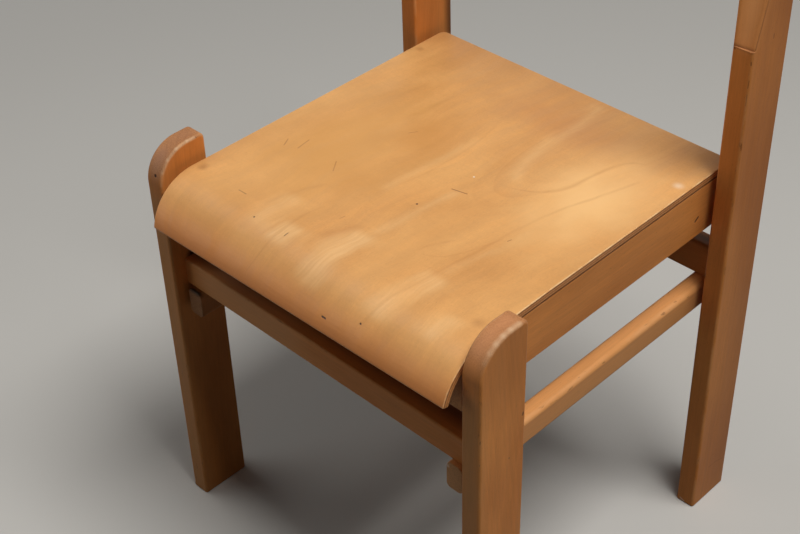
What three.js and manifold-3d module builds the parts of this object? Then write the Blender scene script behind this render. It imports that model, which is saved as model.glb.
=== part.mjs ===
// A choir chair in beech: four board legs, two cross rails, two side rails, two stretchers,
// and a seat and a backrest of bent plywood. Millimetres, with +Z up. The front faces -Y,
// and right (+X) is the right of someone who stands in front of the chair.
import * as THREE from 'three';
import { mergeVertices } from 'three/addons/utils/BufferGeometryUtils.js';
import Module from 'manifold-3d';

const wasm = await Module();
wasm.setup();

// The whole chair
const overallWidth = 448.4;
const totalHeight = 765;
const seatHeight = 450;
const legSpacing = 368.8;

// The legs, which are boards on edge
const legThickness = 21.3;
const legDepth = 59;
const legArris = 4.5;
const frontLegRise = 22;
const frontLegTopRadius = 39;
const frontLegBackRadius = 6;
const rearLegLean = 4;
const rearLegTopRadius = 9;

// The planed flats on the rear legs, which carry the backrest
const flatLength = 168;
const flatShoulder = 3;
const flatInnerShoulder = 0.6;
const flatRunIn = 52;
const flatCatchUp = 22;
const flatRecline = THREE.MathUtils.degToRad( 13.5 );

// The cross rails and their tenons
const crossRailThickness = 22;
const crossRailHeight = 38.5;
const crossRailTopArris = 4;
const crossRailFootArris = 1.5;
const crossRailDrop = 34.7;
const crossRailOutset = 3;
const tenonLength = 14;
const tenonThickness = 9;
const tenonHeight = 25;
const tenonCornerRadius = 3;

// The side rails and the stretchers, which stand clear of the legs by a slot
const slotWidth = 8.6;
const sideRailThickness = 20;
const sideRailHeight = 60;
const sideRailArris = 1.5;
const sideRailSetback = 10;
const sideRailRearInset = 2;
const stretcherThickness = 20;
const stretcherHeight = 32;
const stretcherArris = 5.5;
const stretcherSetback = 10;

// The seat
const seatThickness = 8;
const seatRearReach = 33.7;
const seatOverhang = 20.6;
const seatRollRadius = 56;
const seatRollAngle = THREE.MathUtils.degToRad( 80 );
const seatLip = 2.5;
const seatArris = 1.2;
const seatEdgeRadius = 2;
const seatCornerRadius = 9;

// The backrest
const backrestThickness = 9;
const backrestHeight = 86;
const backrestHollow = 19;
const backrestArris = 2;
const backrestCornerRadius = 22;
const backrestTopDrop = 7;
const backrestSideInset = 1.5;

// Dowels across the slots, and pins between the stretchers and the cross rails
const dowelDiameter = 10;
const dowelBite = 14;
const dowelSpacing = 32;
const dowelRearInset = 12;
const pinDiameter = 8;
const pinBite = 22;
const dowelChamfer = 1;

// Screws
const screwShankDiameter = 4;
const screwHeadDiameter = 8;
const screwHeadHeight = 2.6;
const screwTip = 3;
const seatScrewLength = 28;
const seatScrewBite = 6;
const seatScrewEndInset = 50;
const backrestScrewLength = 20;
const backrestScrewBite = 6.5;
const backrestScrewSpacing = 50;

// Clearances
const fitGap = 0.3;
const socketRoom = 0.5;
const overrun = 5;
const weld = 0.0005;

// How finely the round stretches are cut up
const arcSteps = 5;
const arrisSteps = 3;
const twistSteps = 4;
const catchUpSteps = 8;
const topSteps = 12;
const rollSteps = 14;
const hollowSteps = 24;
const cornerSteps = 6;
const roundSides = 16;

// Places that follow from the sizes
const legCentreX = ( overallWidth - legThickness ) / 2;
const legInnerX = overallWidth / 2 - legThickness;
const legOuterX = overallWidth / 2;
const sideRailOuterX = legInnerX - slotWidth;
const sideRailCentreX = sideRailOuterX - sideRailThickness / 2;
const stretcherCentreX = sideRailOuterX - stretcherThickness / 2;
const seatRear = legSpacing + seatRearReach;
const seatUnderside = seatHeight - seatThickness;
const sideRailTop = seatUnderside - fitGap;
const sideRailBottom = sideRailTop - sideRailHeight;
const crossRailBottom = sideRailBottom - crossRailDrop - crossRailHeight;
const stretcherTop = crossRailBottom - fitGap;
const stretcherBottom = stretcherTop - stretcherHeight;
const crossRailMiddle = crossRailBottom + crossRailHeight / 2;
const seatRollStart = seatRollRadius * Math.sin( seatRollAngle ) + seatLip * Math.cos( seatRollAngle )
	- seatOverhang;

// The rear leg leans forward a little on its way up
function rearLegFront( z ) {

	return legSpacing - rearLegLean * z / seatHeight;

}

// The cross rails sit a little outward of the middle of the legs
const frontRailY = legDepth / 2 - crossRailOutset;
const rearRailY = rearLegFront( crossRailMiddle ) + legDepth / 2 + crossRailOutset;
const sideRailFront = sideRailSetback;
const sideRailRear = seatRear - sideRailRearInset;

// The flat's plane starts behind the leg's face, at a shoulder, and slopes back from there
const flatHeight = totalHeight - flatLength;
const flatFoot = rearLegFront( flatHeight ) + flatShoulder;

function flatY( z ) {

	return flatFoot + ( z - flatHeight ) * Math.tan( flatRecline );

}

const backrestTop = totalHeight - backrestTopDrop;
const backrestBottom = backrestTop - backrestHeight * Math.cos( flatRecline );

// Directions
const across = new THREE.Vector3( 1, 0, 0 );
const backward = new THREE.Vector3( 0, 1, 0 );
const upward = new THREE.Vector3( 0, 0, 1 );
const forward = backward.clone().negate();

// A profile drawn in depth and height, extruded across the chair
const sideView = new THREE.Matrix4().makeBasis( backward, upward, across );

// A profile drawn in width and height, extruded towards the front
const frontView = new THREE.Matrix4().makeBasis( across, upward, forward );

function solidOf( geometry ) {

	const bare = geometry.clone();
	bare.deleteAttribute( 'normal' );
	bare.deleteAttribute( 'uv' );
	const merged = mergeVertices( bare, weld );
	return new wasm.Manifold( new wasm.Mesh( {
		numProp: 3,
		vertProperties: new Float32Array( merged.attributes.position.array ),
		triVerts: new Uint32Array( merged.index.array ),
	} ) );

}

function geometryOf( solid ) {

	const mesh = solid.getMesh();
	const geometry = new THREE.BufferGeometry();
	geometry.setAttribute( 'position', new THREE.BufferAttribute( mesh.vertProperties, mesh.numProp ) );
	geometry.setIndex( new THREE.BufferAttribute( mesh.triVerts, 1 ) );
	geometry.computeVertexNormals();
	return geometry;

}

function cut( geometry, cutters ) {

	let solid = solidOf( geometry );
	for ( const cutter of cutters ) {

		solid = solid.subtract( solidOf( cutter ) );

	}

	return geometryOf( solid );

}

// Cutters are made in the chair's frame, and a piece is cut in its own
function seenFrom( place, cutters ) {

	return cutters.map( ( cutter ) => cutter.clone().translate( - place.x, - place.y, - place.z ) );

}

// The same piece for the other side of the chair, with its faces turned to point out again
function mirrored( geometry ) {

	const twin = geometry.clone().scale( - 1, 1, 1 );
	const index = twin.index.array;
	for ( let i = 0; i < index.length; i += 3 ) {

		const kept = index[ i + 1 ];
		index[ i + 1 ] = index[ i + 2 ];
		index[ i + 2 ] = kept;

	}

	twin.computeVertexNormals();
	return twin;

}

// An outline through corners, each with its place, its radius and the steps round it. It goes
// round anticlockwise, and a corner that turns the other way is rounded inwards.
function roundedOutline( corners ) {

	const points = corners.flatMap( ( [ x, y, radius, steps = arcSteps ], i ) => {

		const corner = new THREE.Vector2( x, y );
		if ( radius === 0 ) return [ corner ];
		const before = corners[ ( i + corners.length - 1 ) % corners.length ];
		const after = corners[ ( i + 1 ) % corners.length ];
		const toBefore = new THREE.Vector2( before[ 0 ], before[ 1 ] ).sub( corner ).normalize();
		const toAfter = new THREE.Vector2( after[ 0 ], after[ 1 ] ).sub( corner ).normalize();
		const halfAngle = Math.acos( toBefore.dot( toAfter ) ) / 2;
		const reach = radius / Math.tan( halfAngle );
		const bisector = toBefore.clone().add( toAfter ).normalize();
		const centre = corner.clone().addScaledVector( bisector, radius / Math.sin( halfAngle ) );
		const start = corner.clone().addScaledVector( toBefore, reach ).sub( centre ).angle();
		const end = corner.clone().addScaledVector( toAfter, reach ).sub( centre ).angle();
		const inwards = toBefore.cross( toAfter ) > 0;
		return new THREE.EllipseCurve( centre.x, centre.y, radius, radius, start, end, inwards )
			.getPoints( steps );

	} );
	return new THREE.Shape( points );

}

function rectangle( width, height, radius ) {

	const right = width / 2;
	const top = height / 2;
	return roundedOutline( [
		[ - right, - top, radius ],
		[ right, - top, radius ],
		[ right, top, radius ],
		[ - right, top, radius ],
	] );

}

// A board sawn to an outline, centred on its thickness, with its arrises rounded over
function board( outline, thickness, arris ) {

	const geometry = new THREE.ExtrudeGeometry( outline, {
		depth: thickness - 2 * arris,
		bevelThickness: arris,
		bevelSize: arris,
		bevelOffset: - arris,
		bevelSegments: arrisSteps,
	} );
	return geometry.translate( 0, 0, arris - thickness / 2 );

}

// A plain prism with sharp edges, centred on its length, for tenons and cutters
function prism( outline, length ) {

	const geometry = new THREE.ExtrudeGeometry( outline, { depth: length, bevelEnabled: false } );
	return geometry.translate( 0, 0, - length / 2 );

}

function block( width, depth, height, x, y, z ) {

	return new THREE.BoxGeometry( width, depth, height ).translate( x, y, z );

}

// A closed skin over rings of points. The rings go upwards, and their points go round
// anticlockwise as seen from above.
function loft( rings ) {

	const count = rings[ 0 ].length;
	const index = [];
	for ( let ring = 0; ring < rings.length - 1; ring ++ ) {

		for ( let i = 0; i < count; i ++ ) {

			const low = ring * count + i;
			const lowNext = ring * count + ( i + 1 ) % count;
			index.push( low, lowNext, lowNext + count );
			index.push( low, lowNext + count, low + count );

		}

	}

	const top = ( rings.length - 1 ) * count;
	for ( let i = 1; i < count - 1; i ++ ) {

		index.push( 0, i + 1, i );
		index.push( top, top + i, top + i + 1 );

	}

	const points = rings.flat().flatMap( ( point ) => point.toArray() );
	const geometry = new THREE.BufferGeometry();
	geometry.setAttribute( 'position', new THREE.Float32BufferAttribute( points, 3 ) );
	geometry.setIndex( index );
	return geometry;

}

// Turns a round piece from its own axis to the way that it points, and puts it in its place
function aimed( geometry, middle, direction ) {

	const turn = new THREE.Quaternion().setFromUnitVectors( backward, direction );
	return geometry.applyQuaternion( turn ).translate( middle.x, middle.y, middle.z );

}

function bore( radius, length, middle, direction ) {

	return aimed( new THREE.CylinderGeometry( radius, radius, length, roundSides ), middle, direction );

}

function dowelGeometry( diameter, length ) {

	const radius = diameter / 2;
	const half = length / 2;
	return new THREE.LatheGeometry( [
		new THREE.Vector2( 0, - half ),
		new THREE.Vector2( radius - dowelChamfer, - half ),
		new THREE.Vector2( radius, dowelChamfer - half ),
		new THREE.Vector2( radius, half - dowelChamfer ),
		new THREE.Vector2( radius - dowelChamfer, half ),
		new THREE.Vector2( 0, half ),
	], roundSides );

}

// A pan-head wood screw: its origin is under the head, and it points along its own +Y
function screwGeometry( length ) {

	const head = screwHeadDiameter / 2;
	const shank = screwShankDiameter / 2;
	return new THREE.LatheGeometry( [
		new THREE.Vector2( 0, - screwHeadHeight ),
		new THREE.Vector2( shank, - screwHeadHeight ),
		new THREE.Vector2( head, - screwHeadHeight / 2 ),
		new THREE.Vector2( head, - fitGap ),
		new THREE.Vector2( shank, - fitGap ),
		new THREE.Vector2( shank, length - screwTip ),
		new THREE.Vector2( 0, length ),
	], roundSides );

}

// The room for a screw: a pilot hole ahead of its head, and a counterbore behind it
function screwRoom( length, counterbore, headSeat, direction ) {

	const pilotLength = length + socketRoom + counterbore / 2;
	const pilotReach = ( length + socketRoom - counterbore / 2 ) / 2;
	const pilotMiddle = headSeat.clone().addScaledVector( direction, pilotReach );
	const boreMiddle = headSeat.clone().addScaledVector( direction, - counterbore / 2 );
	return [
		bore( screwShankDiameter / 2 + fitGap, pilotLength, pilotMiddle, direction ),
		bore( screwHeadDiameter / 2 + socketRoom, counterbore, boreMiddle, direction ),
	];

}

// Materials
const beech = { color: 0xb27c48, roughness: 0.5, metalness: 0 };
const plywood = { color: 0xcf9657, roughness: 0.42, metalness: 0 };
const paleBeech = { color: 0xd8b184, roughness: 0.65, metalness: 0 };
const steel = { color: 0xb9b8b2, roughness: 0.35, metalness: 0.9 };

const chair = new THREE.Group();
const frame = new THREE.Group();
const seat = new THREE.Group();
const backrest = new THREE.Group();
chair.add( frame, seat, backrest );

function addPiece( group, name, geometry, finish, place ) {

	const mesh = new THREE.Mesh( geometry, new THREE.MeshStandardMaterial( finish ) );
	mesh.name = name;
	mesh.position.copy( place );
	group.add( mesh );
	return mesh;

}

// The right-hand piece, and its mirror image on the left
function addPair( group, name, geometry, finish, place ) {

	addPiece( group, name + '_right', geometry, finish, place );
	addPiece( group, name + '_left', mirrored( geometry ), finish, onSide( place, - 1 ) );

}

function onSide( place, side ) {

	return new THREE.Vector3( side * place.x, place.y, place.z );

}

const ends = [ 'front', 'rear' ];
const sides = [ [ 'right', 1 ], [ 'left', - 1 ] ];

// Where the dowels cross the slot on the right side
const dowelX = ( legInnerX + sideRailOuterX ) / 2;
const dowelLength = slotWidth + 2 * dowelBite;
const dowelDepths = { front: legDepth / 2, rear: sideRailRear - dowelRearInset };
const dowelRows = {
	lower: sideRailBottom + ( sideRailHeight - dowelSpacing ) / 2,
	upper: sideRailBottom + ( sideRailHeight + dowelSpacing ) / 2,
};

function dowelPlace( end, row ) {

	return new THREE.Vector3( dowelX, dowelDepths[ end ], dowelRows[ row ] );

}

function dowelBores( end ) {

	return Object.keys( dowelRows ).map( ( row ) =>
		bore( dowelDiameter / 2 + fitGap, dowelLength + 2 * socketRoom, dowelPlace( end, row ), across ) );

}

// Where the pins join the right stretcher to the cross rails above it
const railDepths = { front: frontRailY, rear: rearRailY };
const pinLength = 2 * pinBite;

function pinPlace( end ) {

	return new THREE.Vector3( stretcherCentreX, railDepths[ end ], crossRailBottom - fitGap / 2 );

}

function pinBore( end ) {

	return bore( pinDiameter / 2 + fitGap, pinLength + 2 * socketRoom, pinPlace( end ), upward );

}

// Where the seat screws go up through the right side rail
const seatScrewSeat = seatUnderside + seatScrewBite - seatScrewLength;
const seatScrewDepths = {
	front: sideRailFront + seatScrewEndInset,
	middle: ( sideRailFront + sideRailRear ) / 2,
	rear: sideRailRear - seatScrewEndInset,
};

function seatScrewPlace( depth ) {

	return new THREE.Vector3( sideRailCentreX, seatScrewDepths[ depth ], seatScrewSeat );

}

function seatScrewRooms() {

	const counterbore = seatScrewSeat - sideRailBottom + overrun;
	return Object.keys( seatScrewDepths ).flatMap( ( depth ) =>
		screwRoom( seatScrewLength, counterbore, seatScrewPlace( depth ), upward ) );

}

// The backrest's own frame lies on the planed flats: its y is square to them
const backrestPlace = new THREE.Vector3( 0, flatY( backrestBottom ), backrestBottom );
const backrestTurn = new THREE.Quaternion().setFromAxisAngle( across, - flatRecline );
const backrestFrame = new THREE.Matrix4().makeRotationFromQuaternion( backrestTurn )
	.setPosition( backrestPlace );
const backrestScrewRows = {
	lower: ( backrestHeight - backrestScrewSpacing ) / 2,
	upper: ( backrestHeight + backrestScrewSpacing ) / 2,
};

function backrestScrewPlace( row ) {

	return new THREE.Vector3(
		legCentreX,
		backrestScrewLength - backrestScrewBite - fitGap,
		backrestScrewRows[ row ],
	);

}

function backrestScrewRooms() {

	return Object.keys( backrestScrewRows ).flatMap( ( row ) =>
		screwRoom( backrestScrewLength, legDepth, backrestScrewPlace( row ), forward ) );

}

// Legs

function mortise( depth ) {

	const outline = rectangle(
		tenonThickness + 2 * fitGap,
		tenonHeight + 2 * fitGap,
		tenonCornerRadius + fitGap,
	);
	return prism( outline, 2 * ( tenonLength + socketRoom ) )
		.applyMatrix4( sideView )
		.translate( legInnerX, depth, crossRailMiddle );

}

// The waste below the floor line, which is sawn off square
function footWaste( place ) {

	const waste = 2 * ( legArris + overrun );
	return block( 2 * legThickness, 2 * legDepth, waste, place.x, place.y + legDepth / 2, - waste / 2 );

}

function addFrontLegs() {

	const height = seatHeight + frontLegRise;
	const outline = roundedOutline( [
		[ 0, - legArris - overrun, 0 ],
		[ legDepth, - legArris - overrun, 0 ],
		[ legDepth, height, frontLegBackRadius ],
		[ 0, height, frontLegTopRadius, topSteps ],
	] );
	const place = new THREE.Vector3( legCentreX, 0, 0 );
	const blank = board( outline, legThickness, legArris ).applyMatrix4( sideView );
	const cutters = [ footWaste( place ), mortise( frontRailY ), ...dowelBores( 'front' ) ];
	addPair( frame, 'front_leg', cut( blank, seenFrom( place, cutters ) ), beech, place );

}

// What is planed off the right rear leg. On the outer side the flat starts from a shoulder.
// On the inner side it runs in almost level with the leg's face, so that it winds, and then
// it catches up in a smooth scoop below the backrest.
function flatWaste() {

	const front = legSpacing - legDepth;
	const inner = legInnerX - fitGap;
	const outer = legOuterX + fitGap;
	const runInEnd = flatHeight + flatRunIn;
	const runIn = Array.from( { length: twistSteps }, ( _, i ) => {

		const share = i / twistSteps;
		const z = flatHeight + flatRunIn * share;
		return [ z, rearLegFront( z ) + flatInnerShoulder * ( 1 + share ) ];

	} );
	const catchUp = Array.from( { length: catchUpSteps + 1 }, ( _, i ) => {

		const share = i / catchUpSteps;
		const z = runInEnd + flatCatchUp * share;
		const shallow = rearLegFront( z ) + 2 * flatInnerShoulder;
		const blend = THREE.MathUtils.smoothstep( share, 0, 1 );
		return [ z, THREE.MathUtils.lerp( shallow, flatY( z ), blend ) ];

	} );
	const top = totalHeight + overrun;
	const stations = [ ...runIn, ...catchUp, [ top, flatY( top ) ] ];
	return loft( stations.map( ( [ z, innerDepth ] ) => [
		new THREE.Vector3( inner, front, z ),
		new THREE.Vector3( outer, front, z ),
		new THREE.Vector3( outer, flatY( z ), z ),
		new THREE.Vector3( inner, innerDepth, z ),
	] ) );

}

function addRearLegs() {

	const foot = - legArris - overrun;
	const footLean = rearLegFront( foot ) - legSpacing;
	const topLean = rearLegFront( totalHeight ) - legSpacing;
	const outline = roundedOutline( [
		[ footLean, foot, 0 ],
		[ footLean + legDepth, foot, 0 ],
		[ topLean + legDepth, totalHeight, rearLegTopRadius ],
		[ topLean, totalHeight, 0 ],
	] );
	const place = new THREE.Vector3( legCentreX, legSpacing, 0 );
	const blank = board( outline, legThickness, legArris ).applyMatrix4( sideView );
	const screwRooms = backrestScrewRooms().map( ( room ) => room.applyMatrix4( backrestFrame ) );
	const cutters = [
		footWaste( place ),
		mortise( rearRailY ),
		flatWaste(),
		...dowelBores( 'rear' ),
		...screwRooms,
	];
	addPair( frame, 'rear_leg', cut( blank, seenFrom( place, cutters ) ), beech, place );

}

// Rails

function addCrossRail( end ) {

	const half = crossRailThickness / 2;
	const section = roundedOutline( [
		[ - half, - crossRailHeight / 2, crossRailFootArris ],
		[ half, - crossRailHeight / 2, crossRailFootArris ],
		[ half, crossRailHeight / 2, crossRailTopArris ],
		[ - half, crossRailHeight / 2, crossRailTopArris ],
	] );
	const tenonSection = rectangle( tenonThickness, tenonHeight, tenonCornerRadius );
	const rail = prism( section, 2 * ( legInnerX - fitGap ) ).applyMatrix4( sideView );
	const tenons = prism( tenonSection, 2 * ( legInnerX + tenonLength ) ).applyMatrix4( sideView );
	const tenoned = geometryOf( solidOf( rail ).add( solidOf( tenons ) ) );
	const place = new THREE.Vector3( 0, railDepths[ end ], crossRailMiddle );
	const rightBore = pinBore( end );
	const leftBore = rightBore.clone().translate( - 2 * stretcherCentreX, 0, 0 );
	const geometry = cut( tenoned, seenFrom( place, [ rightBore, leftBore ] ) );
	addPiece( frame, end + '_cross_rail', geometry, beech, place );

}

// The front top corner follows the underside of the seat's roll
function addSideRails() {

	const scribe = seatRollRadius - seatThickness - fitGap;
	const scribeAngle = Math.acos( ( sideRailFront - seatRollStart ) / scribe );
	const curve = new THREE.EllipseCurve(
		seatRollStart,
		sideRailHeight - scribe,
		scribe,
		scribe,
		Math.PI / 2,
		scribeAngle,
	);
	const outline = new THREE.Shape( [
		new THREE.Vector2( sideRailFront, 0 ),
		new THREE.Vector2( sideRailRear, 0 ),
		new THREE.Vector2( sideRailRear, sideRailHeight ),
		...curve.getPoints( arcSteps ),
	] );
	const place = new THREE.Vector3( sideRailCentreX, 0, sideRailBottom );
	const blank = board( outline, sideRailThickness, sideRailArris ).applyMatrix4( sideView );
	const cutters = [ ...dowelBores( 'front' ), ...dowelBores( 'rear' ), ...seatScrewRooms() ];
	addPair( frame, 'side_rail', cut( blank, seenFrom( place, cutters ) ), beech, place );

}

function addStretchers() {

	const rear = rearLegFront( crossRailMiddle ) + legDepth - stretcherSetback;
	const length = rear - stretcherSetback;
	const section = rectangle( stretcherThickness, stretcherHeight, stretcherArris );
	const place = new THREE.Vector3(
		stretcherCentreX,
		stretcherSetback + length / 2,
		( stretcherTop + stretcherBottom ) / 2,
	);
	const blank = prism( section, length ).applyMatrix4( frontView );
	const cutters = [ pinBore( 'front' ), pinBore( 'rear' ) ];
	addPair( frame, 'stretcher', cut( blank, seenFrom( place, cutters ) ), beech, place );

}

// Panels

function addSeatPanel() {

	const underRadius = seatRollRadius - seatThickness;
	const down = new THREE.Vector2( - Math.cos( seatRollAngle ), - Math.sin( seatRollAngle ) );
	const reach = Math.tan( seatRollAngle / 2 );
	const bend = new THREE.Vector2( seatRollStart - seatRollRadius * reach, seatHeight );
	const underBend = new THREE.Vector2( seatRollStart - underRadius * reach, seatUnderside );
	const lip = bend.clone().addScaledVector( down, seatRollRadius * reach + seatLip );
	const underLip = underBend.clone().addScaledVector( down, underRadius * reach + seatLip );
	const profile = roundedOutline( [
		[ seatRear, seatHeight, seatEdgeRadius ],
		[ bend.x, bend.y, seatRollRadius, rollSteps ],
		[ lip.x, lip.y, seatEdgeRadius ],
		[ underLip.x, underLip.y, seatEdgeRadius ],
		[ underBend.x, underBend.y, underRadius, rollSteps ],
		[ seatRear, seatUnderside, seatEdgeRadius ],
	] );
	const panel = board( profile, 2 * sideRailOuterX, seatArris ).applyMatrix4( sideView );
	const planDepth = 2 * seatRear;
	const plan = prism( rectangle( 2 * sideRailOuterX, planDepth, seatCornerRadius ), 2 * seatHeight )
		.translate( 0, seatRear - planDepth / 2, seatHeight );
	const cornered = geometryOf( solidOf( panel ).intersect( solidOf( plan ) ) );
	const rooms = seatScrewRooms();
	const leftRooms = rooms.map( ( room ) => room.clone().translate( - 2 * sideRailCentreX, 0, 0 ) );
	const geometry = cut( cornered, [ ...rooms, ...leftRooms ] );
	addPiece( seat, 'seat_panel', geometry, plywood, new THREE.Vector3() );

}

// How far a rounded edge draws in, at a distance in from its end
function drawnIn( distance, radius ) {

	const short = Math.max( radius - distance, 0 );
	return radius - Math.sqrt( radius * radius - short * short );

}

// The panel lies flat on both legs and is hollowed between them in one smooth wave. It is
// lofted across the chair from sections that shrink at its ends to round the corners.
function addBackrestPanel() {

	const halfWidth = legOuterX - backrestSideInset;
	const edgeSteps = Array.from( { length: cornerSteps }, ( _, i ) => {

		const turn = ( Math.PI / 2 ) * ( i / cornerSteps );
		return backrestCornerRadius * ( 1 - Math.cos( turn ) );

	} );
	const roundOver = [ backrestArris / 4, backrestArris ];
	const distances = [ ...edgeSteps, ...roundOver, backrestCornerRadius ].sort( ( a, b ) => a - b );
	const middleSpan = halfWidth - backrestCornerRadius;
	const middle = Array.from( { length: hollowSteps - 1 }, ( _, i ) =>
		middleSpan * ( 2 * ( i + 1 ) / hollowSteps - 1 ) );
	const stations = [
		...distances.map( ( distance ) => distance - halfWidth ),
		...middle,
		...distances.map( ( distance ) => halfWidth - distance ).reverse(),
	];
	const rings = stations.map( ( x ) => {

		const distance = halfWidth - Math.abs( x );
		const wave = Math.min( Math.abs( x ) / legInnerX, 1 );
		const hollow = backrestHollow * ( 1 + Math.cos( Math.PI * wave ) ) / 2;
		const thickness = backrestThickness - 2 * drawnIn( distance, backrestArris );
		const height = backrestHeight - 2 * drawnIn( distance, backrestCornerRadius );
		const back = hollow - backrestThickness / 2 - fitGap;
		const section = rectangle( thickness, height, backrestArris ).getPoints();
		return section.map( ( { x: y, y: z } ) => new THREE.Vector3( x, y + back, z + backrestHeight / 2 ) );

	} );
	const rooms = backrestScrewRooms();
	const leftRooms = rooms.map( ( room ) => room.clone().translate( - 2 * legCentreX, 0, 0 ) );
	const geometry = cut( loft( rings ), [ ...rooms, ...leftRooms ] );
	addPiece( backrest, 'backrest_panel', geometry, plywood, new THREE.Vector3() );

}

// Dowels, pins and screws

function addFastener( group, name, geometry, finish, place, direction ) {

	const mesh = addPiece( group, name, geometry, finish, place );
	mesh.quaternion.setFromUnitVectors( backward, direction );

}

function addFasteners() {

	for ( const [ side, sign ] of sides ) {

		for ( const end of ends ) {

			const pin = dowelGeometry( pinDiameter, pinLength );
			const pinName = `stretcher_pin_${ end }_${ side }`;
			addFastener( frame, pinName, pin, paleBeech, onSide( pinPlace( end ), sign ), upward );
			for ( const row of Object.keys( dowelRows ) ) {

				const dowel = dowelGeometry( dowelDiameter, dowelLength );
				const name = `slot_dowel_${ end }_${ side }_${ row }`;
				const place = onSide( dowelPlace( end, row ), sign );
				addFastener( frame, name, dowel, paleBeech, place, across );

			}

		}

		for ( const depth of Object.keys( seatScrewDepths ) ) {

			const screw = screwGeometry( seatScrewLength );
			const name = `seat_screw_${ side }_${ depth }`;
			addFastener( seat, name, screw, steel, onSide( seatScrewPlace( depth ), sign ), upward );

		}

		for ( const row of Object.keys( backrestScrewRows ) ) {

			const screw = screwGeometry( backrestScrewLength );
			const name = `backrest_screw_${ side }_${ row }`;
			addFastener( backrest, name, screw, steel, onSide( backrestScrewPlace( row ), sign ), forward );

		}

	}

}

addFrontLegs();
addRearLegs();
ends.forEach( addCrossRail );
addSideRails();
addStretchers();
addSeatPanel();
addBackrestPanel();
addFasteners();

// The backrest group leans back with the flats
backrest.position.copy( backrestPlace );
backrest.quaternion.copy( backrestTurn );

// The origin is on the floor, in the middle of the chair's width and depth
chair.position.y = ( seatOverhang - legSpacing - legDepth ) / 2;

export default chair;
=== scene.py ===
"""A choir chair in worn, honey-brown beech with a bent plywood seat and backrest."""
import math
import random

import bmesh
import bpy
from mathutils import Matrix, Vector


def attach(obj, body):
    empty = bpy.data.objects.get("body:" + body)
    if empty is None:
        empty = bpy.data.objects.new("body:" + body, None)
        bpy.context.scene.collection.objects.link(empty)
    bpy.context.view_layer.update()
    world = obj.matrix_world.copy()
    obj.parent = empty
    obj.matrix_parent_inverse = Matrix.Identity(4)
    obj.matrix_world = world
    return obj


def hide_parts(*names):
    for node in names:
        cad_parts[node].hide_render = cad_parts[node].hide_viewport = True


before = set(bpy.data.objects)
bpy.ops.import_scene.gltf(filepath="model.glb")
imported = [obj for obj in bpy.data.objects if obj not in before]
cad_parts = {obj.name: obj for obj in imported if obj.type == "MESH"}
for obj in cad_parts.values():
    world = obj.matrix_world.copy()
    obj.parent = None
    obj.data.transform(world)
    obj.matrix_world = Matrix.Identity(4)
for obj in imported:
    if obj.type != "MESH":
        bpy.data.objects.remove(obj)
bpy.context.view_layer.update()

# Lengths below are in millimetres, on the chair's own measure: x from its middle, y backwards
# from the face of the front legs, and z up from the floor. MM turns them into metres.
MM = 0.001
DEPTH_SHIFT = -203.6

# The photograph's frame, and the camera that was fitted to the chair's edges in it
IMAGE_WIDTH = 800
FOCAL_PIXELS = 1481.76
SENSOR_WIDTH = 36.0
NEAR_CLIP = 0.05
CAMERA_PLACE = Vector((0.8254, -0.8844, 1.2742))
CAMERA_AZIMUTH = math.radians(45.494)
CAMERA_ELEVATION = math.radians(38.031)
CAMERA_ROLL = math.radians(-1.759)

# Legs
LEG_OUTER = 224.2
LEG_THICKNESS = 22.6
LEG_INNER = LEG_OUTER - LEG_THICKNESS
LEG_DEPTH = 59.0
FRONT_LEG_DEPTH = 60.2
LEG_ARRIS = 3.0
LEG_SPACING = 368.8
FRONT_LEG_HEIGHT = 473.6
LEG_TOP_RADIUS = 39.0
TOTAL_HEIGHT = 765.0
SEAT_HEIGHT = 450.0
REAR_LEAN = 4.0
# The planed flat on a rear leg: the height of its shoulder, how deep that is outside and inside,
# the runs over which the inside stays back and then catches up, and how far the flat leans back
FLAT_FOOT = 597.0
FLAT_SHOULDER = 3.0
FLAT_INNER_SHOULDER = 0.6
FLAT_RUN_IN = 52.0
FLAT_CATCH_UP = 22.0
FLAT_RECLINE = math.radians(13.5)
FLAT_TOP_ARRIS = 1.2
FLAT_ARRIS_WEAR = 0.7
REAR_TOP_RADIUS = 9.0
FRONT_LEG_BACK_RADIUS = 6.0
FOOT_ARRIS = 1.3
# The front legs' outline starts this far below the floor, and is sawn off there
SAWN_OFF = 10.0

# Room left between faces that meet, so that they don't lie in one plane
GAP = 0.3

# Rails
RAIL_OUTER = 194.3
RAIL_THICKNESS = 20.0
SIDE_RAIL = (381.7, 441.7)
SIDE_RAIL_SPAN = (10.0, 400.5)
SIDE_RAIL_ARRIS = 1.5
# Each cross rail's front face, back face, underside, top, and the arris at the top of its front
CROSS_RAILS = {
    "front": (15.5, 45.5, 308.2, 339.5, 2.2),
    "rear": (387.39, 409.39, 308.5, 347.0, 4.0),
}
CROSS_RAIL_ARRIS = 4.0
CROSS_RAIL_LOW_ARRIS = 1.5
# Length, thickness, height and rounding
CROSS_RAIL_TENON = (14.0, 9.0, 25.0, 3.0)
STRETCHER = (276.2, 308.2)
STRETCHER_SPAN = (10.0, 414.89)
STRETCHER_ARRIS = 5.5
STRETCHER_END_ARRIS = 1.2

# Seat
SEAT_THICKNESS = 8.0
SEAT_REAR = 402.5
ROLL_START = 34.98
ROLL_RADIUS = 56.0
ROLL_ANGLE = math.radians(80)
SEAT_LIP = 2.5
SEAT_REAR_CORNER = 9.0
SEAT_ARRIS = 1.2
# The roll's lower edge is sawn short, by this much on the left and by SEAT_SKEW more on the right
SEAT_SHORT = 0.5
SEAT_SKEW = 5.6
# The seat grows wider on the right: how far, how long before the roll, and over what run
SEAT_SWELL = 4.2
SEAT_SWELL_LEAD = 25.0
SEAT_SWELL_RUN = 70.0

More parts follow.
